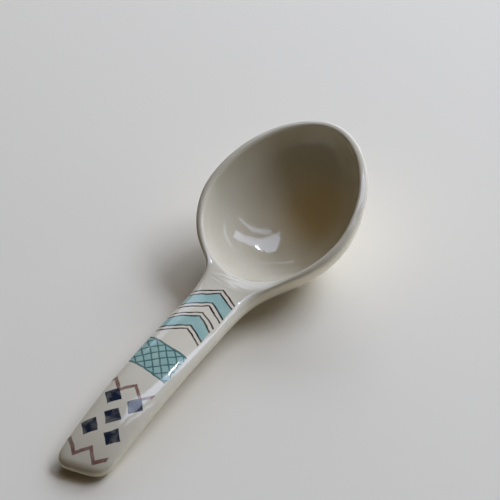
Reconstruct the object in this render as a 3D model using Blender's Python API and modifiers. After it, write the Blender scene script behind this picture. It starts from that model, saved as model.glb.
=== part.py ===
"""Porcelain teaspoon: a press-moulded bowl and a strap handle that is luted to its wall.

The spoon lies as it rests on a table. +X runs along it to the bowl's tip, +Y across it and +Z up, with the origin on
the table under the middle of its length. The pieces are worked out from the neck, where the rim meets the handle, and
an empty carries them to their place.
"""

import math

import bmesh
import bpy

# Bowl, measured over the outside in the plane of its rim.
BOWL_WIDTH = 0.0380
TIP_REACH = 0.0262  # from the widest line to the tip
NECK_REACH = 0.0210  # from the widest line to the neck
BOWL_DEPTH = 0.0147  # from the rim's plane to the outside of the bottom
BOWL_FULLNESS = 2.32  # power of the wall's curve: 2 is an ellipse and more is fuller
PLAN_POWER = 1.87  # power of the plan's outline: 2 is an ellipse and less is more pointed
BOWL_TILT_DEG = 18.5  # rise of the rim from the neck to the tip
RIM_DROP = 0.0010  # dip of the rim at tip and neck below its sides
FOOT_CUT = 0.0004  # ground off the underside, for a flat foot

# Hollow of the bowl.
WALL = 0.0020  # at the sides and the tip
FLOOR = 0.0022  # at the bottom
LIP = 0.0016  # at the neck
LIP_FALL = 0.0008  # of the lip's inner edge below its outer one, at the neck
NECK_DIP = 0.0004  # of the rim at the neck, to the level of the handle
RIM_ROUND = 0.0008  # radius on both edges of the rim
RAMP_FULLNESS = 2.8  # power of the ramp's curve at the neck
NECK_SPREAD = 6.0  # how narrowly the ramp and the dip keep to the neck

# Handle, measured along the table from the neck to the end.
HANDLE_LENGTH = 0.0592
HANDLE_WIDTH = 0.0128
HANDLE_THICKNESS = 0.0044
END_WIDTH = 0.0114
END_THICKNESS = 0.0050  # before the underside rises and the table cuts a flat heel
TAPER_POWER = 4.0  # how late along the strap it narrows to its end
END_HEIGHT = 0.0027  # of the end's top above the table
ARCH_NEAR = 0.0007  # lift of the arch's control point near the bowl
ARCH_FAR = 0.0020  # lift of the arch's control point near the end
EDGE_POWER = 2.8  # roundness of the section: 2 is an ellipse and more is squarer
END_CORNER = 0.0052  # length over which the plan rounds in at the end
END_CORNER_POWER = 3.2
END_EDGE = 0.0016  # length over which the end's upper edge rounds in
END_EDGE_POWER = 2.0
END_EDGE_RISE = 0.28  # share of the thickness by which the widest line climbs, at the end
HEEL_EDGE = 0.0055  # length over which the underside rises to the end
HEEL_POWER = 1.4  # power of that rise: 1 is a straight slope and 2 is an ellipse
END_SKEW = 0.20  # slant of the end across the strap, as a share of its width
END_SKEW_POWER = 5.0  # how late along the strap the slant sets in

# Luted joint between the two.
ROOT_WIDENING = 0.0024  # of the strap at the neck
ROOT_THICKENING = 0.0004
ROOT_CURL = 0.0010  # lift of the strap's edges to the rim, at the neck
ROOT_EDGE_RISE = 0.15  # share of the thickness by which the widest line climbs, at the neck
ROOT_BLEND = 0.0048  # length in which the growth at the root fades by a factor of e
ROOT_REACH = 0.0060  # length of strap past the neck, before it is cut to the wall
SLIP_GAP = 0.0003  # layer of slip between the root and the wall

# Glaze.
GLAZE_COLOUR = (0.76, 0.74, 0.67, 1.0)
GLAZE_ROUGHNESS = 0.12

# Fineness of the facets.
BOWL_SEGMENTS = 56
BOWL_RINGS = 14
RIM_STEPS = 3
HANDLE_STATIONS = 30
END_STATIONS = 8
SECTION_POINTS = 32
PROFILE_SAMPLES = 400

# How far the cutting shapes reach past what they cut, and the distance within which points are one.
CUTTER_MARGIN = 0.0100
WELD = 0.000002
SHARE_DIGITS = 4  # to which a share of the rim is rounded
SHARP_ANGLE_DEG = 40.0  # between faces, past which shading breaks

TILT = math.radians(BOWL_TILT_DEG)


def clear_scene():
    """Remove every object that the scene starts with."""
    for old in list(bpy.data.objects):
        bpy.data.objects.remove(old, do_unlink=True)


def new_collection(name):
    """Add a collection to the scene."""
    group = bpy.data.collections.new(name)
    bpy.context.scene.collection.children.link(group)
    return group


def glaze_material(name):
    """Make the ivory glaze of one piece."""
    material = bpy.data.materials.new(name)
    material.use_nodes = True
    shader = material.node_tree.nodes["Principled BSDF"]
    shader.inputs["Base Color"].default_value = GLAZE_COLOUR
    shader.inputs["Roughness"].default_value = GLAZE_ROUGHNESS
    shader.inputs["Metallic"].default_value = 0.0
    return material


def add_object(name, bm, group, parent):
    """Turn a bmesh into a named object in a collection, carried by an empty."""
    mesh = bpy.data.meshes.new(name)
    bmesh.ops.recalc_face_normals(bm, faces=bm.faces)
    bm.to_mesh(mesh)
    bm.free()
    mesh.shade_smooth()
    mesh.set_sharp_from_angle(angle=math.radians(SHARP_ANGLE_DEG))
    piece = bpy.data.objects.new(name, mesh)
    piece.parent = parent
    group.objects.link(piece)
    return piece


def make_cutter(piece):
    """Mark an object as a cutting shape."""
    piece.hide_render = True
    piece.display_type = "WIRE"
    return piece


def cut(piece, cutter):
    """Take one shape out of another."""
    boolean = piece.modifiers.new("cut_" + cutter.name, "BOOLEAN")
    boolean.operation = "DIFFERENCE"
    boolean.solver = "EXACT"
    boolean.object = cutter


def bezier(values, share):
    """Value of a Bezier curve, by repeated interpolation between its control values."""
    while len(values) > 1:
        values = [a + (b - a) * share for a, b in zip(values, values[1:])]
    return values[0]


def signed_power(value, power):
    """Raise the size of a number to a power and keep its sign."""
    return math.copysign(abs(value) ** power, value)


def share_of_rim(along, across):
    """Share of the way from the bowl's middle to its rim, which is exactly 1 on the rim."""
    return min(round(math.hypot(along, across), SHARE_DIGITS), 1.0)


def nearness_to_neck(along, radius):
    """Weight that is 1 over the neck and fades to the bowl's sides."""
    if radius == 0.0:
        return 0.0
    return max(0.0, -along / radius) ** NECK_SPREAD


def plan_growth(along, across, radius):
    """Factor that turns a circle into the plan's outline, in the shares of reach and half width."""
    if radius == 0.0:
        return 1.0
    return (abs(along / radius) ** PLAN_POWER + abs(across / radius) ** PLAN_POWER) ** (-1.0 / PLAN_POWER)


def outer_point(along, across, gap=0.0):
    """Point on the bowl's outer wall, in the bowl's own frame, grown by a gap.

    Along and across are shares of the bowl's reach and of its half width.
    """
    radius = share_of_rim(along, across)
    growth = plan_growth(along, across, radius)
    reach = (TIP_REACH if along > 0.0 else NECK_REACH) + gap
    depth = (BOWL_DEPTH + gap) * math.sqrt(1.0 - radius ** BOWL_FULLNESS)
    dip = RIM_DROP * along * along + NECK_DIP * nearness_to_neck(along, radius) * radius * radius
    return (reach * along * growth, (BOWL_WIDTH / 2 + gap) * across * growth, -dip - depth)


def inner_point(along, across):
    """Point on the bowl's hollow, in the bowl's own frame, with a lip and a ramp at the neck."""
    radius = share_of_rim(along, across)
    growth = plan_growth(along, across, radius)
    neck = nearness_to_neck(along, radius)
    fullness = BOWL_FULLNESS + (RAMP_FULLNESS - BOWL_FULLNESS) * neck
    root = (1.0 + neck) / 2
    depth = (BOWL_DEPTH - FLOOR) * (1.0 - radius ** fullness) ** root
    reach = TIP_REACH - WALL if along > 0.0 else NECK_REACH - LIP
    dip = RIM_DROP * along * along + (NECK_DIP + LIP_FALL) * neck * radius * radius
    return (reach * along * growth, (BOWL_WIDTH / 2 - WALL) * across * growth, -dip - depth)


def bowl_profile():
    """Points along the middle of the bowl's outer wall, in the bowl's own frame."""
    shares = (2.0 * i / PROFILE_SAMPLES - 1.0 for i in range(PROFILE_SAMPLES + 1))
    return [outer_point(share, 0.0) for share in shares]


def tilted(x, z):
    """Turn a point of the bowl's own frame to the way the bowl lies, about the rim's centre."""
    return (x * math.cos(TILT) - z * math.sin(TILT), x * math.sin(TILT) + z * math.cos(TILT))


def rim_centre():
    """Place of the rim's centre, with the neck over the start and the foot cut level with the table."""
    lowest = min(tilted(x, z)[1] for x, _, z in bowl_profile())
    neck_x, _, neck_z = outer_point(-1.0, 0.0)
    return (-tilted(neck_x, neck_z)[0], -lowest - FOOT_CUT)


def neck_height():
    """Height of the rim over the table at the neck."""
    neck_x, _, neck_z = outer_point(-1.0, 0.0)
    return rim_centre()[1] + tilted(neck_x, neck_z)[1]


def tip_place():
    """Foremost point of the bowl, from the neck."""
    return rim_centre()[0] + max(tilted(x, z)[0] for x, _, z in bowl_profile())


def add_half_egg(bm, place):
    """Add the lower half of a ball to a bmesh, move its points by a rule and return its open edge."""
    ball = bmesh.ops.create_uvsphere(bm, u_segments=BOWL_SEGMENTS, v_segments=2 * BOWL_RINGS, radius=1.0)
    half_step = math.sin(math.pi / (4 * BOWL_RINGS))
    upper = [v for v in ball["verts"] if v.co.z > half_step]
    lower = [v for v in ball["verts"] if v.co.z <= half_step]
    bmesh.ops.delete(bm, geom=upper, context="VERTS")
    for vert in lower:
        vert.co = place(vert.co.x, vert.co.y)
    known = set(lower)
    return [e for e in bm.edges if e.is_boundary and e.verts[0] in known]


def rim_direction(point):
    """Shares of reach and half width that give a point of the outer rim."""
    along = point.x / (TIP_REACH if point.x > 0.0 else NECK_REACH)
    across = point.y / (BOWL_WIDTH / 2)
    length = math.hypot(along, across)
    return along / length, across / length


def lay_in_bowl_frame(piece):
    """Place and tilt an object that is made in the bowl's own frame."""
    centre_x, centre_z = rim_centre()
    piece.location = (centre_x, 0.0, centre_z)
    piece.rotation_euler = (0.0, -TILT, 0.0)


def build_bowl(group, parent):
    """Shell of two half eggs, joined by a rounded rim."""
    bm = bmesh.new()
    weight = bm.edges.layers.float.new("bevel_weight_edge")
    outer_edge = add_half_egg(bm, outer_point)
    inner_edge = add_half_egg(bm, inner_point)
    for edge in outer_edge + inner_edge:
        along, _ = rim_direction((edge.verts[0].co + edge.verts[1].co) / 2)
        edge[weight] = 1.0 - nearness_to_neck(along, 1.0)
    rim = bmesh.ops.extrude_edge_only(bm, edges=outer_edge)["geom"]
    for vert in (v for v in rim if isinstance(v, bmesh.types.BMVert)):
        vert.co = inner_point(*rim_direction(vert.co))
    bmesh.ops.remove_doubles(bm, verts=bm.verts, dist=WELD)
    bowl = add_object("bowl", bm, group, parent)
    lay_in_bowl_frame(bowl)
    rounding = bowl.modifiers.new("rim_round", "BEVEL")
    rounding.limit_method = "WEIGHT"
    rounding.width = RIM_ROUND
    rounding.segments = RIM_STEPS
    return bowl


def build_seat_cutter(group, parent):
    """Outside of the bowl, grown by the layer of slip and carried up past the rim."""
    bm = bmesh.new()
    edge = add_half_egg(bm, lambda along, across: outer_point(along, across, SLIP_GAP))
    raised = bmesh.ops.extrude_edge_only(bm, edges=edge)["geom"]
    for vert in (v for v in raised if isinstance(v, bmesh.types.BMVert)):
        vert.co.z = CUTTER_MARGIN
    bmesh.ops.holes_fill(bm, edges=[e for e in bm.edges if e.is_boundary])
    cutter = make_cutter(add_object("seat_cutter", bm, group, parent))
    lay_in_bowl_frame(cutter)
    return cutter


def build_table_cutter(group, parent):
    """Slab under the table's surface, which flattens the foot and the handle's heel."""
    bm = bmesh.new()
    bmesh.ops.create_cube(bm, size=1.0)
    length = HANDLE_LENGTH + tip_place()
    size = (length + 2 * CUTTER_MARGIN, BOWL_WIDTH + 2 * CUTTER_MARGIN, CUTTER_MARGIN)
    bmesh.ops.scale(bm, vec=size, verts=bm.verts)
    cutter = make_cutter(add_object("table_cutter", bm, group, parent))
    cutter.location = ((tip_place() - HANDLE_LENGTH) / 2, 0.0, -CUTTER_MARGIN / 2)
    return cutter


def root_growth(x):
    """Growth of the strap at its root, which is 1 at the neck, fades along the strap and levels off in the wall."""
    if x < 0.0:
        return math.exp(x / ROOT_BLEND)
    return 2.0 - math.exp(-x / ROOT_BLEND)


def closing(from_end, length, power):
    """Share of its full size that an edge has, where it rounds in over a length at the end."""
    if from_end >= length:
        return 1.0
    return (1.0 - (1.0 - from_end / length) ** power) ** (1.0 / power)


def handle_section(x):
    """Half width, top, widest line, underside and curl of the strap at a place along it."""
    share = min(max(-x / HANDLE_LENGTH, 0.0), 1.0)
    growth = root_growth(x)
    root_top = neck_height()
    top = bezier([root_top, root_top + ARCH_NEAR, root_top + ARCH_FAR, END_HEIGHT], share)
    width = HANDLE_WIDTH + (END_WIDTH - HANDLE_WIDTH) * share ** TAPER_POWER + ROOT_WIDENING * growth
    thickness = HANDLE_THICKNESS + (END_THICKNESS - HANDLE_THICKNESS) * share + ROOT_THICKENING * growth
    widest = top - thickness / 2 + thickness * ROOT_EDGE_RISE * min(growth, 1.0)
    widest += thickness * END_EDGE_RISE * share ** TAPER_POWER
    under = top - thickness
    from_end = x + HANDLE_LENGTH
    width *= closing(from_end, END_CORNER, END_CORNER_POWER)
    top = widest + (top - widest) * closing(from_end, END_EDGE, END_EDGE_POWER)
    under = widest + (under - widest) * closing(from_end, HEEL_EDGE, HEEL_POWER)
    return width / 2, top, widest, under, ROOT_CURL * growth


def handle_loop(x, circle):
    """Points of the strap's section at a place along it, one for each point of a unit circle."""
    half_width, top, widest, under, curl = handle_section(x)
    slant = END_SKEW * max(-x / HANDLE_LENGTH, 0.0) ** END_SKEW_POWER
    points = []
    for across, up in circle:
        share = signed_power(across, 2 / EDGE_POWER)
        rise = top - widest if up > 0.0 else widest - under
        z = widest + rise * signed_power(up, 2 / EDGE_POWER) + curl * share * share
        points.append((x - slant * half_width * share, half_width * share, z))
    return points


def handle_stations():
    """Places of the strap's sections, from past the neck to the end, closer together where the end rounds in."""
    straight_end = END_CORNER - HANDLE_LENGTH
    span = ROOT_REACH - straight_end
    places = [ROOT_REACH - span * i / HANDLE_STATIONS for i in range(HANDLE_STATIONS)]
    for i in range(END_STATIONS):
        turn = math.pi / 2 * i / END_STATIONS
        places.append(straight_end - END_CORNER * math.sin(turn))
    return places


def build_handle(group, parent):
    """Strap lofted through rounded sections along its arch."""
    bm = bmesh.new()
    loops = []
    for x in handle_stations():
        ring = bmesh.ops.create_circle(bm, segments=SECTION_POINTS, radius=1.0)["verts"]
        circle = [(vert.co.x, vert.co.y) for vert in ring]
        for vert, point in zip(ring, handle_loop(x, circle)):
            vert.co = point
        known = set(ring)
        loops.append([e for e in bm.edges if e.verts[0] in known])
    for loop, following in zip(loops, loops[1:]):
        bmesh.ops.bridge_loops(bm, edges=loop + following)
    bmesh.ops.holes_fill(bm, edges=[e for e in bm.edges if e.is_boundary])
    return add_object("handle", bm, group, parent)


def main():
    """Build the spoon."""
    clear_scene()
    spoon = new_collection("teaspoon")
    cutters = new_collection("teaspoon_cutters")
    carrier = bpy.data.objects.new("teaspoon_origin", None)
    carrier.location = ((HANDLE_LENGTH - tip_place()) / 2, 0.0, 0.0)
    spoon.objects.link(carrier)
    bowl = build_bowl(spoon, carrier)
    handle = build_handle(spoon, carrier)
    seat_cutter = build_seat_cutter(cutters, carrier)
    table_cutter = build_table_cutter(cutters, carrier)
    cut(bowl, table_cutter)
    cut(handle, seat_cutter)
    cut(handle, table_cutter)
    bowl.data.materials.append(glaze_material("bowl_glaze"))
    handle.data.materials.append(glaze_material("handle_glaze"))


main()
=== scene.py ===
"""Looks of the porcelain teaspoon: its glazed skin, the painted handle, and the studio that it lies in.

Lengths are in metres, and turns in radians, unless a docstring or a comment says otherwise.
"""

import logging
import math
from collections.abc import Callable
from dataclasses import dataclass, field
from enum import Enum
from typing import Union

import bmesh
import bpy
import numpy as np
from mathutils import Matrix, Vector, noise


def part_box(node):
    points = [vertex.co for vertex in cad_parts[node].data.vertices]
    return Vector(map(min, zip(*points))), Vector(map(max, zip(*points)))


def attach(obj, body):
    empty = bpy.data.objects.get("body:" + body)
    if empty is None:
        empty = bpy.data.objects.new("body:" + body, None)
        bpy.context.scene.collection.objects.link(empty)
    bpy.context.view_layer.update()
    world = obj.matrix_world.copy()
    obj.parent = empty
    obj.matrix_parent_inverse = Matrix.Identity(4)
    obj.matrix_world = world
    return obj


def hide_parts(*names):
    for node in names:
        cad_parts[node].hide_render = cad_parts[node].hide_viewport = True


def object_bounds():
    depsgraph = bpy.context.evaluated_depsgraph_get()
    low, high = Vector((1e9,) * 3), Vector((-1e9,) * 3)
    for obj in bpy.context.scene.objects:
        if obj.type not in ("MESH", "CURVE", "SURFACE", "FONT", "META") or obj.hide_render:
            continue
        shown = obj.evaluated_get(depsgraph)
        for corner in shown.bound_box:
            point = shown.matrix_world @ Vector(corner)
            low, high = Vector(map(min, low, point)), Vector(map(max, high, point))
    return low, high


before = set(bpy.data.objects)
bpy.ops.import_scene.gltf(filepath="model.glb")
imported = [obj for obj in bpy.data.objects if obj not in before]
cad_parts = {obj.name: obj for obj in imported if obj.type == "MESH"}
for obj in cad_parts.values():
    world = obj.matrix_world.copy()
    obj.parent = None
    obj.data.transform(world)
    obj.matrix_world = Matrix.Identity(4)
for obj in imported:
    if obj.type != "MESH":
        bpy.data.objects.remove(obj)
CAD_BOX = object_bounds()

LOG = logging.getLogger("teaspoon")
BODY = "root"
SKIN_NORMAL = "skin_normal"

Point = tuple[float, float, float]
Span = tuple[float, float]
Colour = tuple[float, float, float, float]
Socket = bpy.types.NodeSocket
Source = Union[Socket, Point, Colour, float]

# A millimetre, the step that finds a curve's direction, and the distance within which grids are welded.
MM = 0.001
DIRECTION_STEP = MM / 10
WELD = 0.000002


class Piece(Enum):
    """The two pieces of clay, by the CAD node that each stands for."""

    BOWL = "bowl"
    HANDLE = "handle"


class Slot(Enum):
    """The record's material slots."""

    BOWL = "bowl_glaze"
    HANDLE = "handle_glaze"


class Wall(Enum):
    """The surfaces of the bowl's shell: its hollow, its rim and its outer wall."""

    INNER = "inner"
    RIM = "rim"
    OUTER = "outer"


class Grain(Enum):
    """How many finer layers the noise of a cloud has."""

    PLAIN = 1.0
    SOFT = 2.0
    FINE = 3.0


class Role(Enum):
    """What a pane of light does: it lights the surfaces, or it is only mirrored in the glaze."""

    LIT = "lit"
    MIRRORED = "mirrored"


class Paint(Enum):
    """Colours painted on the clay, under the glaze."""

    TURQUOISE = (0.350, 0.550, 0.470, 1.0)
    TEAL = (0.090, 0.180, 0.160, 1.0)
    OUTLINE = (0.033, 0.013, 0.015, 1.0)
    NAVY = (0.014, 0.023, 0.044, 1.0)
    BRICK = (0.290, 0.150, 0.115, 1.0)


def signed_power(values: np.ndarray, power: float) -> np.ndarray:
    """Raise the sizes of numbers to a power and keep their signs."""
    return np.sign(values) * np.abs(values) ** power


def unit(vectors: np.ndarray) -> np.ndarray:
    """Scale each row of an array to length 1."""
    return vectors / np.linalg.norm(vectors, axis=-1, keepdims=True)


def bezier(values: list[float], share: float) -> float:
    """Work out a Bezier curve by repeated interpolation.

    Args:
        values: Control values.
        share: Share of the way along the curve.

    Returns:
        The curve's value there.
    """
    while len(values) > 1:
        values = [a + (b - a) * share for a, b in zip(values, values[1:])]
    return values[0]


def linked(name: str, data: bpy.types.ID) -> bpy.types.Object:
    """Add an object to the scene.

    Args:
        name: Its name.
        data: Its mesh, light or camera.

    Returns:
        The object.
    """
    made = bpy.data.objects.new(name, data)
    bpy.context.scene.collection.objects.link(made)
    return made


def aimed(place: Vector, way: Vector, roll: float) -> Matrix:
    """Aim a lamp or a camera.

    Args:
        place: Where it stands.
        way: The direction in which it looks.
        roll: Its turn about that direction.

    Returns:
        Its matrix in the world.
    """
    look = way.to_track_quat("-Z", "Y").to_matrix() @ Matrix.Rotation(roll, 3, "Z")
    return Matrix.Translation(place) @ look.to_4x4()


@dataclass
class BowlForm:
    """Egg-shaped shell of the bowl, in its own frame: the rim's plane is level and +X runs to the tip.

    Angles go round the bowl from the tip, and shares run from its middle, 0, to its rim, 1.
    """

    width: float = 0.0380
    tip_reach: float = 0.0262
    neck_reach: float = 0.0210
    depth: float = 0.0147
    tilt: float = math.radians(18.5)
    foot_cut: float = 0.0004

    # Powers of the outline and of the wall's curve, where 2 makes an ellipse, and of the ramp's curve.
    plan_power: float = 1.87
    fullness: float = 2.32
    ramp_fullness: float = 2.8

    # Thicknesses at the sides, at the bottom and at the neck, and how far the rim dips.
    wall: float = 0.0020
    floor: float = 0.0022
    lip: float = 0.0016
    lip_fall: float = 0.0008
    rim_drop: float = 0.0010
    neck_dip: float = 0.0004
    neck_spread: float = 6.0

    # The rim's rounding, and its crest's shift across it: a mean, then shares of the angle's cosine, of its
    # sine and of the doubled angle's sine.
    rim_round: float = 0.0010
    rim_power: float = 2.6
    crest_shift: tuple[float, ...] = (0.06, 0.14, -0.14, -0.18)

    profile_samples: int = 401

    def neck_weight(self, angle: np.ndarray) -> np.ndarray:
        """Weight that is 1 over the neck and fades to the bowl's sides."""
        return np.maximum(0.0, -np.cos(angle)) ** self.neck_spread

    def plan(self, angle: np.ndarray) -> np.ndarray:
        """Factor that turns a circle into the bowl's outline."""
        power = self.plan_power
        return (np.abs(np.cos(angle)) ** power + np.abs(np.sin(angle)) ** power) ** (-1.0 / power)

    def spread(self, angle: np.ndarray, share: np.ndarray, tip: float, neck: float, half: float,
               fall: np.ndarray, sag: float) -> np.ndarray:
        """Turn angles and shares into points.

        Args:
            angle: Angles round the bowl.
            share: Shares of the way to the rim, one for each angle.
            tip: Reach from the middle to the tip.
            neck: Reach from the middle to the neck.
            half: Half of the width.
            fall: How far the surface lies below its own rim.
            sag: How far the rim lies below its plane at the neck, beyond its dip at tip and neck.

        Returns:
            Points in the bowl's own frame, one row for each angle.
        """
        along = share * np.cos(angle)
        reach = np.where(along > 0.0, tip, neck)
        growth = self.plan(angle)
        dip = self.rim_drop * along ** 2 + sag * self.neck_weight(angle) * share ** 2
        return np.stack([reach * along * growth, half * share * np.sin(angle) * growth, -dip - fall], axis=-1)

    def outer(self, angle: np.ndarray, share: np.ndarray) -> np.ndarray:
        """Points on the outer wall."""
        fall = self.depth * np.sqrt(1.0 - share ** self.fullness)
        return self.spread(angle, share, self.tip_reach, self.neck_reach, self.width / 2, fall, self.neck_dip)

    def inner(self, angle: np.ndarray, share: np.ndarray) -> np.ndarray:
        """Find points on the hollow, which turns into a ramp at the neck.

        Args:
            angle: Angles round the bowl.
            share: Shares of the way to the rim, one for each angle.

        Returns:
            Points in the bowl's own frame, one row for each angle.
        """
        neck = self.neck_weight(angle)
        fullness = self.fullness + (self.ramp_fullness - self.fullness) * neck
        fall = (self.depth - self.floor) * (1.0 - share ** fullness) ** ((1.0 + neck) / 2)
        return self.spread(angle, share, self.tip_reach - self.wall, self.neck_reach - self.lip,
                           self.width / 2 - self.wall, fall, self.neck_dip + self.lip_fall)

    def rim(self, angle: np.ndarray, turn: float) -> np.ndarray:
        """Find points on the rim, which is round but for the neck, where it is flat.

        Args:
            angle: Angles round the bowl.
            turn: Turn over the rim, from the outer wall, 0, to the hollow, pi.

        Returns:
            Points in the bowl's own frame, one row for each angle.
        """
        edge = np.ones_like(angle)
        outside = self.outer(angle, edge)
        inside = self.inner(angle, edge)
        waves = np.stack([edge, np.cos(angle), np.sin(angle), np.sin(2 * angle)], axis=-1)
        shift = waves @ np.array(self.crest_shift)
        flat, rise = signed_power(np.array([math.cos(turn), math.sin(turn)]), 2 / self.rim_power)
        across = flat - shift[:, None] * rise ** 2
        points = (outside + inside) / 2 + (outside - inside) / 2 * across
        points[:, 2] += self.rim_round * (1.0 - self.neck_weight(angle)) * (rise - 1.0)
        return points

    def turned(self, points: np.ndarray) -> np.ndarray:
        """Tilt points to the way the bowl lies.

        Args:
            points: Points in the bowl's own frame.

        Returns:
            The tilted points.
        """
        x, y, z = np.moveaxis(points, -1, 0)
        cos, sin = math.cos(self.tilt), math.sin(self.tilt)
        return np.stack([x * cos - z * sin, y, x * sin + z * cos], axis=-1)

    def middle_profile(self) -> np.ndarray:
        """Points along the middle of the outer wall, from the neck to the tip, as the bowl lies."""
        shares = np.linspace(-1.0, 1.0, self.profile_samples)
        return self.turned(self.outer(np.where(shares > 0.0, 0.0, math.pi), np.abs(shares)))

    def placed(self, points: np.ndarray) -> np.ndarray:
        """Tilt points and move them so that the neck is over the start and the foot is on the table.

        Args:
            points: Points in the bowl's own frame.

        Returns:
            Points from the neck, over the table.
        """
        profile = self.middle_profile()
        shift = np.array([-profile[0, 0], 0.0, -profile[:, 2].min() - self.foot_cut])
        return self.turned(points) + shift

    def neck_height(self) -> float:
        """Height of the rim over the table, at the neck."""
        return float(self.placed(self.outer(np.array([math.pi]), np.ones(1)))[0, 2])

    def tip_place(self) -> float:
        """Foremost point of the bowl, from the neck."""
        profile = self.middle_profile()
        return float(profile[:, 0].max() - profile[0, 0])


@dataclass
class HandleForm:
    """Arched strap, measured along the table from the neck, at 0, to its end, at minus its length."""

    root_height: float
    length: float = 0.0592
    width: float = 0.0128
    thickness: float = 0.0044
    edge_power: float = 2.8
    arch_near: float = 0.0007
    arch_far: float = 0.0020

    # The blunt end: its taper, its rounded corners, its thin edge, its heel and its slant.
    end_width: float = 0.0114
    end_thickness: float = 0.0050
    end_height: float = 0.0027
    taper_power: float = 4.0
    end_corner: float = 0.0052
    end_corner_power: float = 3.2
    end_edge: float = 0.0016
    end_edge_power: float = 2.0
    end_edge_rise: float = 0.28
    heel_edge: float = 0.0055
    heel_power: float = 1.4
    end_skew: float = 0.20
    end_skew_power: float = 5.0

    # The flared root, whose edges curl up to the rim.
    root_widening: float = 0.0024
    root_thickening: float = 0.0004
    root_curl: float = 0.0010
    root_edge_rise: float = 0.15
    root_blend: float = 0.0048
    root_crispness: float = 2.2

    @staticmethod
    def closing(from_end: float, length: float, power: float) -> float:
        """Share of its full size that an edge has, where it rounds in over a length at the end."""
        return (1.0 - max(0.0, 1.0 - from_end / length) ** power) ** (1.0 / power)

    def section(self, x: float) -> tuple[float, float, float, float, float]:
        """Measure the strap at a place along it.

        Args:
            x: The place along the strap.

        Returns:
            Its half width, the heights of its top, its widest line and its underside, and its edges' curl.
        """
        share = min(max(-x / self.length, 0.0), 1.0)
        growth = math.exp(min(x, 0.0) / self.root_blend)
        lifts = [self.root_height, self.root_height + self.arch_near, self.root_height + self.arch_far]
        top = bezier(lifts + [self.end_height], share)
        width = self.width + (self.end_width - self.width) * share ** self.taper_power
        width += self.root_widening * growth
        thickness = self.thickness + (self.end_thickness - self.thickness) * share
        thickness += self.root_thickening * growth
        widest = top - thickness / 2 + thickness * self.root_edge_rise * growth
        widest += thickness * self.end_edge_rise * share ** self.taper_power
        under = top - thickness
        from_end = max(x + self.length, 0.0)
        width *= self.closing(from_end, self.end_corner, self.end_corner_power)
        top = widest + (top - widest) * self.closing(from_end, self.end_edge, self.end_edge_power)
        under = widest + (under - widest) * self.closing(from_end, self.heel_edge, self.heel_power)
        return width / 2, top, widest, under, self.root_curl * growth

    def loop(self, x: float, circle: np.ndarray) -> np.ndarray:
        """Draw the strap's section at a place along it.

        Args:
            x: The place along the strap.
            circle: Points of a unit circle, one row for each point of the section.

        Returns:
            Points from the neck, one row for each point of the circle.
        """
        half, top, widest, under, curl = self.section(x)
        power = self.edge_power + self.root_crispness * curl / self.root_curl
        across = signed_power(circle[:, 0], 2 / power)
        rise = np.where(circle[:, 1] > 0.0, top - widest, widest - under)
        height = widest + rise * signed_power(circle[:, 1], 2 / power) + curl * across ** 2
        slant = self.end_skew * max(-x / self.length, 0.0) ** self.end_skew_power
        return np.stack([x - slant * half * across, half * across, height], axis=-1)


@dataclass
class Patchwork:
    """Grids of quads that are gathered and welded into one mesh."""

    points: list[Point] = field(default_factory=list)
    faces: list[tuple[int, ...]] = field(default_factory=list)

    def add(self, grid: np.ndarray, closed: bool = False) -> None:
        """Add a grid of points as quads.

        Args:
            grid: Points by row and column.
            closed: Whether the last column joins the first.
        """
        rows, columns = grid.shape[:2]
        start = len(self.points)
        self.points.extend(map(tuple, grid.reshape(-1, 3)))
        for row in range(rows - 1):
            for column in range(columns if closed else columns - 1):
                after = (column + 1) % columns
                here, below = start + row * columns, start + (row + 1) * columns
                self.faces.append((here + column, here + after, below + after, below + column))

    def mesh(self, name: str) -> bpy.types.Mesh:
        """Weld the grids.

        Args:
            name: Name of the mesh.

        Returns:
            A closed mesh whose faces look outward.
        """
        made = bpy.data.meshes.new(name)
        made.from_pydata(self.points, [], self.faces)
        bm = bmesh.new()
        bm.from_mesh(made)
        bmesh.ops.remove_doubles(bm, verts=bm.verts, dist=WELD)
        bmesh.ops.recalc_face_normals(bm, faces=bm.faces)
        bm.to_mesh(made)
        bm.free()
        return made


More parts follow.
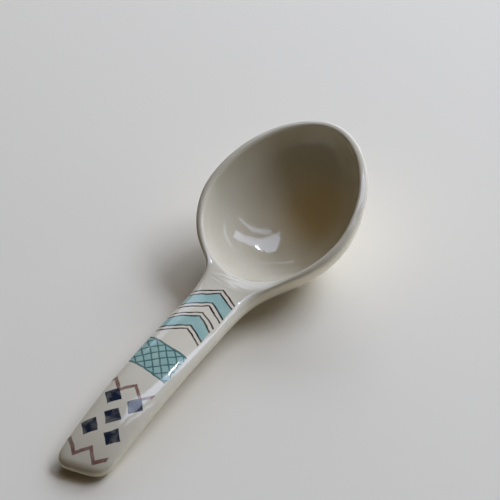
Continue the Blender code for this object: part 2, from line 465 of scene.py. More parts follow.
@dataclass
class SpoonSkin:
    """Skin of the whole spoon, in which the handle's fibres run on into the bowl, cut into its two pieces."""

    bowl: BowlForm
    handle: HandleForm
    neck_x: float

    # Rings of the bowl: over the middle of a wall, up the wall, over the rim and down to the hole's foot.
    middle_rings: int = 12
    middle_share: float = 0.45
    wall_rings: int = 16
    ramp_rings: int = 4
    rim_steps: int = 8
    hole_rings: int = 5
    ramp_turn: float = math.radians(74.0)
    upper_turn: float = math.radians(84.0)
    hole_foot_turn: float = math.radians(64.0)

    # The hole that the handle runs into: its columns to each side, and how its top sags and its corners lean.
    neck_left: int = 8
    neck_right: int = 12
    ramp_share: float = 0.80
    ramp_reach: float = 0.75
    lean_power: float = 3.0

    # Loops of the handle, and the corners of its section.
    blend_start: float = 0.0050
    blend_steps: int = 12
    strap_steps: int = 56
    end_steps: int = 14
    end_turn: float = math.radians(87.0)
    ridge_corner: float = math.radians(47.0)
    side_corner: float = math.radians(4.0)
    under_corner: float = math.radians(40.0)

    # Fairing of the neck, which is full within a core, as a share of its reach.
    fairing: int = 40
    fairing_factor: float = 0.5
    fairing_reach: float = 0.0170
    fairing_core: float = 0.5
    fairing_half: float = 0.0140

    subdivisions: int = 1
    unevenness: float = 0.00005
    uneven_scale: float = 160.0
    joint_place: float = -0.0003

    @property
    def columns(self) -> int:
        """Number of columns round the bowl: each square ring of its middle grid adds 8 points."""
        return 8 * self.middle_rings

    @property
    def across(self) -> int:
        """Number of columns across the neck."""
        return self.neck_left + self.neck_right

    @property
    def crest(self) -> int:
        """Number of the station on the rim's crest."""
        return self.ramp_rings + self.rim_steps // 2

    def sideways(self) -> np.ndarray:
        """Shares of the way from the middle of the neck to its corners, one for each column."""
        columns = np.arange(-self.neck_left, self.neck_right + 1)
        return np.abs(columns / np.where(columns < 0, self.neck_left, self.neck_right))

    def angles(self, first: int, last: int) -> np.ndarray:
        """Angles of the columns from one number to another, both counted from the neck."""
        return math.pi + np.arange(first, last + 1) * (2 * math.pi / self.columns)

    def stations(self) -> list[tuple[Wall, float]]:
        """List the rings from the ramp, over the rim, to the foot of the handle's hole on the outer wall.

        Returns:
            The surface of each ring, and its turn on that surface.
        """
        inside = np.linspace(self.ramp_turn, self.upper_turn, self.ramp_rings)
        over = np.linspace(math.pi, 0.0, self.rim_steps + 1)
        outside = np.linspace(self.upper_turn, self.hole_foot_turn, self.hole_rings)
        stretches = ((Wall.INNER, inside), (Wall.RIM, over), (Wall.OUTER, outside))
        return [(wall, turn) for wall, turns in stretches for turn in turns]

    def surface(self, wall: Wall) -> Callable[[np.ndarray, np.ndarray], np.ndarray]:
        """Formula of the hollow or of the outer wall."""
        return self.bowl.inner if wall is Wall.INNER else self.bowl.outer

    def ring(self, wall: Wall, turn: float, angle: np.ndarray) -> np.ndarray:
        """Draw one ring of the bowl, as it lies.

        Args:
            wall: Surface that the ring is on.
            turn: Turn over the rim, or on a wall the turn whose sine is the share of the way to the rim.
            angle: Angles round the bowl.

        Returns:
            Points from the neck, one row for each angle.
        """
        if wall is Wall.RIM:
            return self.bowl.placed(self.bowl.rim(angle, turn))
        share = np.full_like(angle, math.sin(turn))
        return self.bowl.placed(self.surface(wall)(angle, share))

    def middle_grid(self, wall: Wall) -> np.ndarray:
        """Draw a square grid over the middle of a wall, whose squares turn into evenly divided rings.

        Args:
            wall: The hollow or the outer wall.

        Returns:
            Points by row and column.
        """
        steps = np.arange(-self.middle_rings, self.middle_rings + 1)
        row, column = np.meshgrid(steps, steps, indexing="ij")
        radius = np.maximum(np.abs(row), np.abs(column))
        by_row = np.abs(row) == radius
        major, minor = np.where(by_row, row, column), np.where(by_row, column, row)
        ratio = minor / np.where(major == 0, 1, major)
        angle = np.where(by_row, ratio, 2.0 - ratio) * (math.pi / 4) + np.where(major < 0, math.pi, 0.0)
        share = radius / self.middle_rings * self.middle_share
        points = self.surface(wall)(angle.ravel(), share.ravel())
        return self.bowl.placed(points).reshape(*row.shape, 3)

    def wall_grid(self, wall: Wall, last_turn: float) -> np.ndarray:
        """Draw the rings of a wall, from its middle grid upward.

        Args:
            wall: The hollow or the outer wall.
            last_turn: Turn of the uppermost ring.

        Returns:
            Points by ring and column.
        """
        angle = self.angles(0, self.columns - 1)
        turns = np.linspace(math.asin(self.middle_share), last_turn, self.wall_rings + 1)
        return np.stack([self.ring(wall, turn, angle) for turn in turns])

    def upper_grid(self) -> np.ndarray:
        """Rings of the rim and the walls beside it, all round the bowl but for the handle's hole."""
        angle = self.angles(self.neck_right, self.columns - self.neck_left)
        return np.stack([self.ring(wall, turn, angle) for wall, turn in self.stations()])

    def ramp_grid(self) -> np.ndarray:
        """Draw the ramp at the neck, up to the top of the handle's hole, which sags between the crests.

        Returns:
            Points by ring and column.
        """
        angle = self.angles(-self.neck_left, self.neck_right)
        rows = np.stack([self.ring(wall, turn, angle) for wall, turn in self.stations()[:self.crest + 1]])
        rise = np.sin(np.minimum(1.0, self.sideways() / self.ramp_reach) * (math.pi / 2)) ** 2
        tops = self.crest * (self.ramp_share + (1.0 - self.ramp_share) * rise)
        steps = np.arange(self.crest + 1)
        grid = np.empty_like(rows)
        for column, top in enumerate(tops):
            places = np.linspace(0.0, top, self.crest + 1)
            for axis in range(3):
                grid[:, column, axis] = np.interp(places, steps, rows[:, column, axis])
        return grid

    def hole_loop(self) -> tuple[np.ndarray, np.ndarray]:
        """Draw the edge of the handle's hole, and the directions in which the bowl's surface leaves it.

        Returns:
            Points and unit vectors, along the top, down the right, back along the foot and up the left.
        """
        sides = self.angles(-self.neck_left - 1, self.neck_right + 1)
        rows = np.stack([self.ring(wall, turn, sides) for wall, turn in self.stations()[self.crest:]])
        step = (self.upper_turn - self.hole_foot_turn) / (self.hole_rings - 1)
        below = self.ring(Wall.OUTER, self.hole_foot_turn - step, sides)[1:-1]
        ramp = self.ramp_grid()
        top, beyond = ramp[-1], ramp[-2]
        foot = rows[-1, 1:-1]
        right, left = rows[:, -2], rows[:, 1]
        top_way, foot_way = unit(beyond - top), unit(below - foot)
        right_way, left_way = unit(rows[:, -1] - right), unit(rows[:, 0] - left)
        lean = (self.sideways() ** self.lean_power)[:, None]
        leftward = (np.arange(self.across + 1) < self.neck_left)[:, None]
        for way, row in ((top_way, 0), (foot_way, -1)):
            way[:] = unit((1.0 - lean) * way + lean * np.where(leftward, left_way[row], right_way[row]))
        points = np.concatenate([top, right[1:-1], foot[::-1], left[-2:0:-1]])
        ways = np.concatenate([top_way, right_way[1:-1], foot_way[::-1], left_way[-2:0:-1]])
        return points, ways

    def section_circle(self) -> np.ndarray:
        """Divide a unit circle for the handle's section.

        Returns:
            Points, one for each point of the hole's edge and in the same order.
        """
        power = self.handle.edge_power / 2
        corners = [self.ridge_corner, self.side_corner, -self.under_corner]
        marks = [0, self.rim_steps // 2, self.rim_steps // 2 + self.hole_rings]
        side = np.interp(np.arange(1, marks[-1]), marks, corners)
        right = np.stack([-np.cos(side), np.sin(side)], axis=-1)
        rows = []
        for corner, up in ((self.ridge_corner, 1.0), (self.under_corner, -1.0)):
            edge = math.cos(corner) ** (1.0 / power)
            across = signed_power(np.linspace(edge, -edge, self.across + 1), power)
            rows.append(np.stack([across, up * np.sqrt(1.0 - across ** 2)], axis=-1))
        return np.concatenate([rows[0], right, rows[1][::-1], right[::-1] * np.array([-1.0, 1.0])])

    def neck_grid(self) -> np.ndarray:
        """Lead the handle's fibres into the bowl along smooth curves.

        Returns:
            Points by loop, from the handle to the hole's edge, and by fibre.
        """
        circle = self.section_circle()
        start = self.handle.loop(-self.blend_start, circle)
        start_way = unit(self.handle.loop(-self.blend_start + DIRECTION_STEP, circle) - start)
        end, end_way = self.hole_loop()
        pull = np.linalg.norm(end - start, axis=-1, keepdims=True)
        loops = []
        for t in np.linspace(0.0, 1.0, self.blend_steps + 1):
            here = (2 * t ** 3 - 3 * t ** 2 + 1) * start + (3 * t ** 2 - 2 * t ** 3) * end
            lean = (t ** 3 - 2 * t ** 2 + t) * start_way + (t ** 3 - t ** 2) * end_way
            loops.append(here + lean * pull)
        return np.stack(loops)

    def strap_grid(self) -> np.ndarray:
        """Draw the handle from the neck's curves to its end.

        Returns:
            Points by loop and by fibre, with the loops closer together where the end rounds in.
        """
        corner = self.handle.end_corner
        straight = np.linspace(-self.blend_start, corner - self.handle.length, self.strap_steps + 1)
        turns = np.linspace(0.0, self.end_turn, self.end_steps + 1)[1:]
        rounded = corner - self.handle.length - corner * np.sin(turns)
        circle = self.section_circle()
        return np.stack([self.handle.loop(x, circle) for x in np.concatenate([straight, rounded])])

    def end_grid(self, loop: np.ndarray) -> np.ndarray:
        """Close a section with a grid that is drawn out between its top, its foot and its two sides.

        Args:
            loop: Points of the section.

        Returns:
            Points by row and column.
        """
        across, up = self.across, len(self.stations()) - 1 - self.crest
        top = loop[:across + 1]
        right = loop[across:across + up + 1]
        foot = loop[across + up:2 * across + up + 1][::-1]
        left = np.concatenate([loop[2 * across + up:], loop[:1]])[::-1]
        s = np.linspace(0.0, 1.0, across + 1)[None, :, None]
        t = np.linspace(0.0, 1.0, up + 1)[:, None, None]
        corners = ((1 - s) * (1 - t) * top[0] + s * (1 - t) * top[-1]
                   + (1 - s) * t * foot[0] + s * t * foot[-1])
        return (1 - t) * top[None] + t * foot[None] + (1 - s) * left[:, None] + s * right[:, None] - corners

    def joined(self) -> bpy.types.Mesh:
        """Weld the grids, fair the neck, and subdivide and place the skin.

        Returns:
            Skin of the whole spoon.
        """
        work = Patchwork()
        for wall, turn in ((Wall.INNER, self.ramp_turn), (Wall.OUTER, self.hole_foot_turn)):
            work.add(self.middle_grid(wall))
            work.add(self.wall_grid(wall, turn), closed=True)
        work.add(self.upper_grid())
        work.add(self.ramp_grid())
        work.add(self.neck_grid(), closed=True)
        strap = self.strap_grid()
        work.add(strap, closed=True)
        work.add(self.end_grid(strap[-1]))
        cage = linked("skin_cage", work.mesh("skin_cage"))
        fair = cage.modifiers.new("fair_neck", "SMOOTH")
        fair.factor = self.fairing_factor
        fair.iterations = self.fairing
        fair.vertex_group = self.mark_neck(cage).name
        smooth = cage.modifiers.new("skin", "SUBSURF")
        smooth.levels = smooth.render_levels = self.subdivisions
        graph = bpy.context.evaluated_depsgraph_get()
        skin = bpy.data.meshes.new_from_object(cage.evaluated_get(graph))
        bpy.data.objects.remove(cage)
        self.settle(skin)
        return skin

    def mark_neck(self, cage: bpy.types.Object) -> bpy.types.VertexGroup:
        """Weight the points near the neck.

        Args:
            cage: The welded grids.

        Returns:
            Group of the points, whose weights fade with the distance from the neck and from the middle.
        """
        group = cage.vertex_groups.new(name="neck")
        middle = Vector((0.0, 0.0, self.bowl.neck_height()))
        for vertex in cage.data.vertices:
            near = 1.0 - (vertex.co - middle).length / self.fairing_reach
            inward = 1.0 - (vertex.co.y / self.fairing_half) ** 2
            if near > 0.0 and inward > 0.0:
                group.add([vertex.index], min(1.0, near / self.fairing_core) * inward, "REPLACE")
        return group

    def settle(self, skin: bpy.types.Mesh) -> None:
        """Make a skin slightly uneven, as hands leave it, move it to its place and flatten it on the table.

        Args:
            skin: Skin of the whole spoon, which also keeps its directions for the pieces.
        """
        for vertex, normal in zip(skin.vertices, [v.vector.copy() for v in skin.vertex_normals]):
            vertex.co += normal * self.unevenness * noise.noise(vertex.co * self.uneven_scale)
            vertex.co.x += self.neck_x
            vertex.co = [min(max(at, low), high) for at, low, high in zip(vertex.co, *CAD_BOX)]
        skin.update()
        skin.attributes.new(SKIN_NORMAL, "FLOAT_VECTOR", "POINT")
        normals = np.array([v.vector for v in skin.vertex_normals], np.float32)
        skin.attributes[SKIN_NORMAL].data.foreach_set("vector", normals.ravel())

    def cut_out(self, skin: bpy.types.Mesh, piece: Piece) -> bpy.types.Object:
        """Take one piece out of the skin and close it where it meets the other.

        Args:
            skin: Skin of the whole spoon.
            piece: The piece to take.

        Returns:
            A closed object, shaded across the joint as the whole skin is.
        """
        bm = bmesh.new()
        bm.from_mesh(skin)
        everything = bm.verts[:] + bm.edges[:] + bm.faces[:]
        place = (self.neck_x + self.joint_place, 0.0, 0.0)
        bmesh.ops.bisect_plane(bm, geom=everything, plane_co=place, plane_no=(1.0, 0.0, 0.0),
                               clear_inner=piece is Piece.BOWL, clear_outer=piece is Piece.HANDLE)
        bmesh.ops.holes_fill(bm, edges=[edge for edge in bm.edges if edge.is_boundary])
        for face in bm.faces:
            face.smooth = True
        mesh = bpy.data.meshes.new(piece.value + "_skin")
        bm.to_mesh(mesh)
        bm.free()
        normals = np.zeros(len(mesh.vertices) * 3, np.float32)
        mesh.attributes[SKIN_NORMAL].data.foreach_get("vector", normals)
        mesh.attributes.remove(mesh.attributes[SKIN_NORMAL])
        mesh.normals_split_custom_set_from_vertices(normals.reshape(-1, 3).tolist())
        return linked(piece.value + "_skin", mesh)


class NodeSketch:
    """Writer of a material's nodes, in which each method adds one node or a few and gives their output."""

    # Half of the width over which a painted edge fades, in millimetres, and the middle of a cloud's colours.
    soft_edge: float = 0.09
    cloud_middle: Point = (0.5, 0.5, 0.5)

    # The Mix node's sockets by number, because its names repeat: the factor, two colours and the result.
    mix_inputs: tuple[int, int, int] = (0, 6, 7)
    mix_output: int = 2

    def __init__(self, name: str) -> None:
        """Start a material with a Principled shader.

        Args:
            name: Name of the material.
        """
        self.material = bpy.data.materials.new(name)
        self.material.use_nodes = True
        self.tree = self.material.node_tree
        self.shader = self.tree.nodes["Principled BSDF"]

    def plug(self, source: Source, socket: Socket) -> None:
        """Link an output to a socket, or set the socket to a value.

        Args:
            source: The output or the value.
            socket: The socket.
        """
        if isinstance(source, bpy.types.NodeSocket):
            self.tree.links.new(source, socket)
        else:
            socket.default_value = source

    def operate(self, kind: str, operation: str, values: tuple[Source, ...]) -> bpy.types.Node:
        """Add a node that works something out.

        Args:
            kind: Type of the node.
            operation: What it works out.
            values: Outputs or values for its first sockets.

        Returns:
            The node.
        """
        node = self.tree.nodes.new(kind)
        node.operation = operation
        for value, socket in zip(values, node.inputs):
            self.plug(value, socket)
        return node

    def math(self, operation: str, *values: Source) -> Socket:
        """Add a Math node."""
        return self.operate("ShaderNodeMath", operation, values).outputs[0]

    def vector(self, operation: str, *values: Source) -> Socket:
        """Add a Vector Math node."""
        node = self.operate("ShaderNodeVectorMath", operation, values)
        return node.outputs["Value" if operation == "DISTANCE" else "Vector"]

    def smooth(self, value: Source, low: float, high: float) -> Socket:
        """Rise smoothly from 0 to 1 between two values, or fall where the first is the larger.

        Args:
            value: What is compared with the two values.
            low: Where the result is 0.
            high: Where the result is 1.

        Returns:
            The result.
        """
        node = self.tree.nodes.new("ShaderNodeMapRange")
        node.interpolation_type = "SMOOTHSTEP"
        for source, socket in zip((value, min(low, high), max(low, high)), node.inputs):
            self.plug(source, socket)
        if low > high:
            node.inputs["To Min"].default_value = 1.0
            node.inputs["To Max"].default_value = 0.0
        return node.outputs[0]

    def line(self, distance: Source, half: float) -> Socket:
        """Mask of a line, from the distance to its middle in millimetres."""
        return self.smooth(self.math("ABSOLUTE", distance), half + self.soft_edge, half - self.soft_edge)

    def within(self, value: Source, low: float, high: float) -> Socket:
        """Mask of the places where a value in millimetres lies between two others."""
        return self.line(self.math("SUBTRACT", value, (low + high) / 2), (high - low) / 2)

    def every(self, value: Source, period: float, start: float = 0.0) -> Socket:
        """Distance to the nearest of many places that are a period apart."""
        return self.math("PINGPONG", self.math("SUBTRACT", value, start), period / 2)

    def blend(self, factor: Source, first: Source, second: Source) -> Socket:
        """Mix two colours.

        Args:
            factor: Share of the second colour.
            first: The first colour.
            second: The second colour.

        Returns:
            The mixed colour.
        """
        node = self.tree.nodes.new("ShaderNodeMix")
        node.data_type = "RGBA"
        for source, number in zip((factor, first, second), self.mix_inputs):
            self.plug(source, node.inputs[number])
        return node.outputs[self.mix_output]

    def cloud(self, scale: float, grain: Grain = Grain.SOFT, colour: bool = False,
              squeeze: Point = (1.0, 1.0, 1.0)) -> Socket:
        """Add noise in the object's own space.

        Args:
            scale: Number of features to the metre.
            grain: How fine the noise goes.
            colour: Whether it gives a colour, rather than a number.
            squeeze: Factors of the scale along each axis.

        Returns:
            The noise, from 0 to 1.
        """
        node = self.tree.nodes.new("ShaderNodeTexNoise")
        self.plug(self.vector("MULTIPLY", self.place(), squeeze), node.inputs["Vector"])
        node.inputs["Scale"].default_value = scale
        node.inputs["Detail"].default_value = grain.value
        return node.outputs[1 if colour else 0]

    def place(self) -> Socket:
        """Place in the object's own space."""
        return self.tree.nodes.new("ShaderNodeTexCoord").outputs["Object"]

    def split(self, vector: Socket) -> list[Socket]:
        """Take a vector apart.

        Args:
            vector: The vector.

        Returns:
            Its X, Y and Z.
        """
        node = self.tree.nodes.new("ShaderNodeSeparateXYZ")
        self.plug(vector, node.inputs[0])
        return list(node.outputs)

    def facing_up(self) -> Socket:
        """Upward part of the surface's direction, from -1 to 1."""
        return self.split(self.tree.nodes.new("ShaderNodeNewGeometry").outputs["Normal"])[2]

    def bump(self, height: Source, distance: float, strength: float) -> Socket:
        """Add a Bump node.

        Args:
            height: Height of the surface, as a share of the distance.
            distance: Height that the value 1 stands for.
            strength: Share of the effect.

        Returns:
            Direction of the uneven surface.
        """
        node = self.tree.nodes.new("ShaderNodeBump")
        self.plug(height, node.inputs["Height"])
        node.inputs["Distance"].default_value = distance
        node.inputs["Strength"].default_value = strength
        return node.outputs[0]


@dataclass(frozen=True)
class IvoryGlaze:
    """Clear glossy glaze over ivory porcelain, bare where the foot was wiped.

    Scales are numbers of features to the metre. A facing is the upward part of the surface's direction.
    """

    gloss: float = 0.07
    coat: float = 0.35
    coat_roughness: float = 0.03
    index: float = 1.5

    # Ripples in the gloss, and low waves in the surface.
    ripple: float = 0.04
    ripple_scale: float = 260.0
    ripple_range: Span = (0.3, 0.7)
    wave_height: float = 0.00008
    wave_strength: float = 0.5
    wave_scale: float = 320.0

    # The clay's two tones, in clouds, and its specks.
    body: Colour = (0.81, 0.735, 0.55, 1.0)
    thin: Colour = (0.84, 0.765, 0.58, 1.0)
    cloud_scale: float = 90.0
    cloud_range: Span = (0.35, 0.7)
    speck: Colour = (0.30, 0.24, 0.17, 1.0)
    speck_cover: float = 0.5
    speck_scale: float = 1500.0
    speck_range: Span = (0.79, 0.84)

    # The hollow's bottom, where a warm colour is painted in as the warm light that lies in its shaded far
    # side; it is painted light, not glaze.
    painted_glow: Colour = (0.79, 0.64, 0.37, 1.0)
    painted_glow_middle: Point = (0.0376, -0.0040, 0.0075)
    painted_glow_reach: Span = (0.012, 0.003)
    painted_glow_facing: Span = (0.0, 0.3)

    # The neck's level top, where the slip was smoothed with a tool.
    mark_middle: Point = (0.010, 0.0, 0.006)
    mark_reach: Span = (0.008, 0.004)
    mark_facing: Span = (0.8, 0.95)
    mark_scale: float = 900.0
    mark_squeeze: Point = (1.0, 0.25, 0.6)
    mark_depth: float = 5.0

    # The bare faces that the spoon rests on.
    bisque: Colour = (0.73, 0.68, 0.58, 1.0)
    bisque_roughness: float = 0.75
    foot_height: float = 0.00025
    foot_facing: Span = (-0.9, -0.99)

    def foot_mask(self, sketch: NodeSketch) -> Socket:
        """Mask of the bare faces that the spoon rests on."""
        low = sketch.smooth(sketch.split(sketch.place())[2], self.foot_height, 0.0)
        return sketch.math("MULTIPLY", low, sketch.smooth(sketch.facing_up(), *self.foot_facing))

    @staticmethod
    def upward_patch(sketch: NodeSketch, middle: Point, reach: Span, facing: Span) -> Socket:
        """Mask the upward faces round a place.

        Args:
            sketch: The material's nodes.
            middle: The place.
            reach: Distances from it at which the mask is 0 and 1.
            facing: Facings at which the mask is 0 and 1.

        Returns:
            The mask.
        """
        away = sketch.vector("DISTANCE", sketch.place(), middle)
        near = sketch.smooth(away, *reach)
        return sketch.math("MULTIPLY", near, sketch.smooth(sketch.facing_up(), *facing))

    def clay(self, sketch: NodeSketch) -> Socket:
        """Colour the clay under the glaze, with clouds, a few specks and a patch of painted warm light in the
        shaded hollow.

        Args:
            sketch: The material's nodes.

        Returns:
            The colour.
        """
        clouds = sketch.smooth(sketch.cloud(self.cloud_scale, Grain.FINE), *self.cloud_range)
        colour = sketch.blend(clouds, self.body, self.thin)
        # Painted light: the warm glow in the shaded hollow, painted into the clay's colour.
        painted_glow_mask = self.upward_patch(sketch, self.painted_glow_middle, self.painted_glow_reach, self.painted_glow_facing)
        colour = sketch.blend(painted_glow_mask, colour, self.painted_glow)
        specks = sketch.smooth(sketch.cloud(self.speck_scale, Grain.PLAIN), *self.speck_range)
        return sketch.blend(sketch.math("MULTIPLY", specks, self.speck_cover), colour, self.speck)

    def finish(self, sketch: NodeSketch, colour: Socket) -> bpy.types.Material:
        """Lay the glaze over a colour.

        Args:
            sketch: The material's nodes.
            colour: Colour of the clay and its paint.

        Returns:
            The material.
        """
        bare = self.foot_mask(sketch)
        shader = sketch.shader.inputs
        sketch.plug(sketch.blend(bare, colour, self.bisque), shader["Base Color"])
        ripple = sketch.smooth(sketch.cloud(self.ripple_scale), *self.ripple_range)
        gloss = sketch.math("MULTIPLY_ADD", ripple, self.ripple, self.gloss)
        dull = sketch.math("MULTIPLY", bare, self.bisque_roughness)
        sketch.plug(sketch.math("MAXIMUM", gloss, dull), shader["Roughness"])
        shader["IOR"].default_value = self.index
        shader["Coat Weight"].default_value = self.coat
        shader["Coat Roughness"].default_value = self.coat_roughness
        smoothed = self.upward_patch(sketch, self.mark_middle, self.mark_reach, self.mark_facing)
        strokes = sketch.cloud(self.mark_scale, Grain.PLAIN, squeeze=self.mark_squeeze)
        marks = sketch.math("MULTIPLY", smoothed, strokes)
        height = sketch.math("MULTIPLY_ADD", marks, self.mark_depth, sketch.cloud(self.wave_scale))
        sketch.plug(sketch.bump(height, self.wave_height, self.wave_strength), shader["Normal"])
        return sketch.material

    def material(self, name: str, bands: "PaintedBands | None" = None) -> bpy.types.Material:
        """Glaze plain clay, or painted bands.

        Args:
            name: Name of the material.
            bands: The bands, or nothing for plain clay.

        Returns:
            The material.
        """
        sketch = NodeSketch(name)
        clay = self.clay(sketch)
        return self.finish(sketch, bands.painted(sketch, clay) if bands else clay)


@dataclass(frozen=True)
class PaintedBands:
    """Bands of plain geometric ornament on the handle's upper face.

    Their measures are in millimetres, along the handle from the neck and across it from its middle.
    """

    # Place of the neck in the frame, in metres.
    neck_x: float

    # The painted face, and the facings at which its paint starts and is full.
    left_edge: float = 8.0
    right_edge: float = -4.7
    face_facing: Span = (0.25, 0.45)

    # The brush: how far it wavers, how thin its wash is at the least, and how much that varies.
    wobble: float = 0.9
    wobble_scale: float = 260.0
    wash_least: float = 0.52
    wash_change: float = 0.8
    wash_scale: float = 420.0
    outline_half: float = 0.24

    chevron_start: float = 6.5
    chevron_period: float = 8.4
    chevron_slope: float = 0.62
    chevron_half: float = 1.75
    second_outline: float = 3.0
    chevron_margin: float = 1.0

    band: Span = (24.6, 32.6)
    band_slant: float = 0.16
    lattice_period: float = 2.6

    zigzags: Span = (37.2, 54.0)
    zigzag_period: float = 5.2
    zigzag_half: float = 0.55
    lozenges: tuple[Span, ...] = ((41.6, 3.0), (41.6, -2.6), (45.8, 0.2), (50.0, 3.0), (50.0, -2.6))
    lozenge_along: float = 2.4
    lozenge_across: float = 2.2

    def place(self, sketch: NodeSketch) -> tuple[Socket, Socket]:
        """Measure where the brush is, wavering as a hand-held one does.

        Args:
            sketch: The material's nodes.

        Returns:
            Distances along the handle and across it.
        """
        x, y, _ = sketch.split(sketch.place())
        along = sketch.math("MULTIPLY_ADD", x, -1.0 / MM, self.neck_x / MM)
        across = sketch.math("MULTIPLY", y, 1.0 / MM)
        cloud = sketch.cloud(self.wobble_scale, colour=True)
        along_sway, across_sway, _ = sketch.split(sketch.vector("SUBTRACT", cloud, sketch.cloud_middle))
        return (sketch.math("MULTIPLY_ADD", along_sway, self.wobble, along),
                sketch.math("MULTIPLY_ADD", across_sway, self.wobble, across))

    def stroke(self, sketch: NodeSketch, ground: Source, mask: Socket, paint: Paint) -> Socket:
        """Brush a colour over another, thinner here and there.

        Args:
            sketch: The material's nodes.
            ground: The colour below.
            mask: Where the brush goes.
            paint: The colour on the brush.

        Returns:
            The painted colour.
        """
        cloud = sketch.cloud(self.wash_scale, Grain.FINE)
        wash = sketch.math("MULTIPLY_ADD", cloud, self.wash_change, self.wash_least)
        cover = sketch.math("MULTIPLY", mask, sketch.math("MINIMUM", wash, 1.0))
        return sketch.blend(cover, ground, paint.value)

    def chevrons(self, sketch: NodeSketch, ground: Source, along: Socket, across: Socket) -> Socket:
        """Paint two washed chevrons near the neck, each between pairs of fine lines.

        Args:
            sketch: The material's nodes.
            ground: The colour below.
            along: Distance along the handle.
            across: Distance across the handle.

        Returns:
            The painted colour.
        """
        lean = sketch.math("MULTIPLY", sketch.math("ABSOLUTE", across), -self.chevron_slope)
        reach = sketch.math("ADD", along, lean)
        step = sketch.every(reach, self.chevron_period, self.chevron_start)
        margin = self.second_outline + self.chevron_margin
        last = self.chevron_start + self.chevron_period
        where = sketch.within(reach, self.chevron_start - margin, last + margin)
        wash = sketch.math("MULTIPLY", where, sketch.line(step, self.chevron_half))
        colour = self.stroke(sketch, ground, wash, Paint.TURQUOISE)
        for middle in (self.chevron_half, self.second_outline):
            edge = sketch.line(sketch.math("SUBTRACT", step, middle), self.outline_half)
            colour = self.stroke(sketch, colour, sketch.math("MULTIPLY", where, edge), Paint.OUTLINE)
        return colour

    def lattice(self, sketch: NodeSketch, ground: Source, along: Socket, across: Socket) -> Socket:
        """Paint a washed band across the handle, crossed by two sets of slanting lines.

        Args:
            sketch: The material's nodes.
            ground: The colour below.
            along: Distance along the handle.
            across: Distance across the handle.

        Returns:
            The painted colour.
        """
        level = sketch.math("MULTIPLY_ADD", across, self.band_slant, along)
        where = sketch.within(level, *self.band)
        colour = self.stroke(sketch, ground, where, Paint.TURQUOISE)
        for way in ("ADD", "SUBTRACT"):
            step = sketch.every(sketch.math(way, level, across), self.lattice_period)
            rule = sketch.math("MULTIPLY", where, sketch.line(step, self.outline_half))
            colour = self.stroke(sketch, colour, rule, Paint.TEAL)
        for border in self.band:
            edge = sketch.line(sketch.math("SUBTRACT", level, border), self.outline_half)
            colour = self.stroke(sketch, colour, edge, Paint.TEAL)
        return colour

    def lozenge_field(self, sketch: NodeSketch, ground: Source, along: Socket, across: Socket) -> Socket:
        """Paint lozenges between two zigzag lines.

        Args:
            sketch: The material's nodes.
            ground: The colour below.
            along: Distance along the handle.
            across: Distance across the handle.

        Returns:
            The painted colour.
        """
        colour = ground
        wave = sketch.every(across, self.zigzag_period)
        for middle in self.zigzags:
            offset = sketch.math("SUBTRACT", sketch.math("SUBTRACT", along, middle), wave)
            colour = self.stroke(sketch, colour, sketch.line(offset, self.zigzag_half), Paint.BRICK)
        for middle, side in self.lozenges:
            far = sketch.math("ABSOLUTE", sketch.math("SUBTRACT", along, middle))
            wide = sketch.math("ABSOLUTE", sketch.math("SUBTRACT", across, side))
            spread = sketch.math("MULTIPLY_ADD", wide, self.lozenge_along / self.lozenge_across, far)
            inside = sketch.smooth(spread, self.lozenge_along, self.lozenge_along - 2 * sketch.soft_edge)
            colour = self.stroke(sketch, colour, inside, Paint.NAVY)
        return colour

    def painted(self, sketch: NodeSketch, clay: Socket) -> Socket:
        """Paint the bands on the clay.

        Args:
            sketch: The material's nodes.
            clay: Colour of the bare clay.

        Returns:
            Colour of the painted clay.
        """
        along, across = self.place(sketch)
        colour = clay
        for motif in (self.chevrons, self.lattice, self.lozenge_field):
            colour = motif(sketch, colour, along, across)
        upper = sketch.smooth(sketch.facing_up(), *self.face_facing)
        face = sketch.math("MULTIPLY", sketch.within(across, self.right_edge, self.left_edge), upper)
        return sketch.blend(face, clay, colour)


@dataclass(frozen=True)
class SoftPane:
    """Flat pane of soft light, looking at the object.

    Its azimuth, from +X towards +Y, its elevation and its turn about the line to the object are in degrees.
    """

    name: str
    azimuth: float
    elevation: float
    distance: float
    size: Span
    radiance: float
    colour: Point
    role: Role = Role.LIT
    turn: float = 0.0

    def build(self) -> None:
        """Add the pane as an area light, whose power is pi times its radiance and its area."""
        data = bpy.data.lights.new(self.name, "AREA")
        data.shape = "RECTANGLE"
        data.size, data.size_y = self.size
        data.energy = self.radiance * math.pi * self.size[0] * self.size[1]
        data.color = self.colour
        lamp = linked(self.name, data)
        around, up = math.radians(self.azimuth), math.radians(self.elevation)
        way = Vector((math.cos(up) * math.cos(around), math.cos(up) * math.sin(around), math.sin(up)))
        lamp.matrix_world = aimed(way * self.distance, -way, math.radians(self.turn))
        lamp.visible_diffuse = self.role is Role.LIT
        lamp.visible_glossy = self.role is Role.MIRRORED


DAYLIGHT = (0.87, 0.98, 1.27)
LAMPLIGHT = (1.30, 1.0, 0.65)

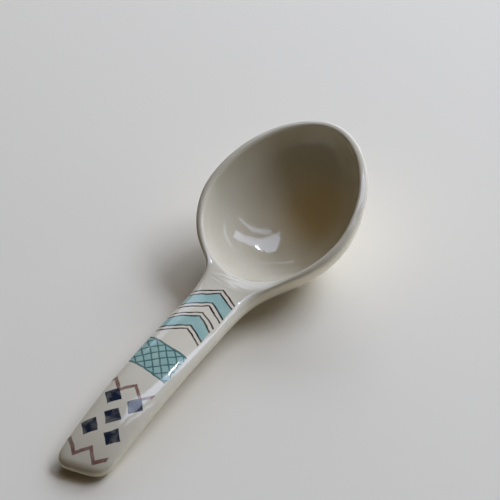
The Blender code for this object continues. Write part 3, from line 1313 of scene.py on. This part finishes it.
# Name, azimuth, elevation, distance, size, radiance and colour, then the role and the turn where they matter.
STUDIO_PANES = (
    SoftPane("window", 7.0, 23.0, 1.60, (1.82, 0.62), 5.2, DAYLIGHT),
    SoftPane("high_window", -21.0, 42.0, 1.60, (1.07, 0.51), 8.7, DAYLIGHT),
    SoftPane("side_light", -62.0, 24.0, 0.90, (0.50, 0.30), 0.8, DAYLIGHT),
    SoftPane("skylight", 0.0, 70.0, 0.90, (0.80, 0.30), 0.55, LAMPLIGHT),
    SoftPane("window_gleam", -11.0, 22.0, 1.60, (1.75, 0.68), 1.5, DAYLIGHT, Role.MIRRORED),
    SoftPane("side_gleam", 35.0, 27.0, 1.20, (0.66, 0.52), 1.2, DAYLIGHT, Role.MIRRORED),
    SoftPane("glint", 13.0, 62.0, 0.78, (0.026, 0.026), 110.0, DAYLIGHT, Role.MIRRORED),
    SoftPane("upper_gleam", -3.0, 64.5, 0.78, (0.73, 0.15), 3.2, DAYLIGHT, Role.MIRRORED, 33.0),
    SoftPane("top_gleam", -35.0, 72.0, 0.78, (0.62, 0.035), 2.5, DAYLIGHT, Role.MIRRORED, 49.0),
)


@dataclass
class Studio:
    """Floor, lights and camera, whose lens is in millimetres."""

    floor_size: float = 4.0
    floor_colour: Colour = (0.88, 0.81, 0.65, 1.0)
    floor_roughness: float = 0.6
    room_colour: Colour = (0.022, 0.016, 0.009, 1.0)
    panes: tuple[SoftPane, ...] = STUDIO_PANES
    camera_place: Point = (-0.23785, -0.15826, 0.28338)
    camera_aim: Point = (0.01665, 0.00129, 0.00935)
    camera_roll: float = math.radians(0.042)
    lens: float = 129.6

    def build_floor(self) -> None:
        """Lay a pale table top."""
        bm = bmesh.new()
        bmesh.ops.create_grid(bm, x_segments=1, y_segments=1, size=self.floor_size / 2)
        mesh = bpy.data.meshes.new("table_top")
        bm.to_mesh(mesh)
        bm.free()
        sketch = NodeSketch("table_paint")
        sketch.shader.inputs["Base Color"].default_value = self.floor_colour
        sketch.shader.inputs["Roughness"].default_value = self.floor_roughness
        mesh.materials.append(sketch.material)
        linked("table_top", mesh)

    def build_camera(self) -> None:
        """Set the camera at the photograph's place."""
        data = bpy.data.cameras.new("camera")
        data.lens = self.lens
        camera = linked("camera", data)
        place = Vector(self.camera_place)
        camera.matrix_world = aimed(place, Vector(self.camera_aim) - place, self.camera_roll)
        bpy.context.scene.camera = camera

    def build_lights(self) -> None:
        """Hang panes of soft light in a dim, warm room."""
        for pane in self.panes:
            pane.build()
        world = bpy.data.worlds.new("room")
        world.use_nodes = True
        world.node_tree.nodes["Background"].inputs["Color"].default_value = self.room_colour
        bpy.context.scene.world = world


def main() -> None:
    """Build the spoon and the studio."""
    logging.basicConfig(level=logging.INFO, format="%(message)s")
    bpy.context.scene.view_settings.view_transform = "Standard"
    bowl = BowlForm()
    handle = HandleForm(bowl.neck_height())
    skin = SpoonSkin(bowl, handle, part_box("bowl")[1].x - bowl.tip_place())
    whole = skin.joined()
    glaze = IvoryGlaze()
    bands = PaintedBands(skin.neck_x)
    for piece, slot, paint in ((Piece.BOWL, Slot.BOWL, None), (Piece.HANDLE, Slot.HANDLE, bands)):
        made = skin.cut_out(whole, piece)
        made.data.materials.append(glaze.material(slot.value + "_look", paint))
        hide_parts(piece.value)
        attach(made, BODY)
        LOG.info("%s: %d faces", made.name, len(made.data.polygons))
    bpy.data.meshes.remove(whole)
    studio = Studio()
    studio.build_floor()
    studio.build_camera()
    studio.build_lights()


if __name__ == "__main__":
    main()
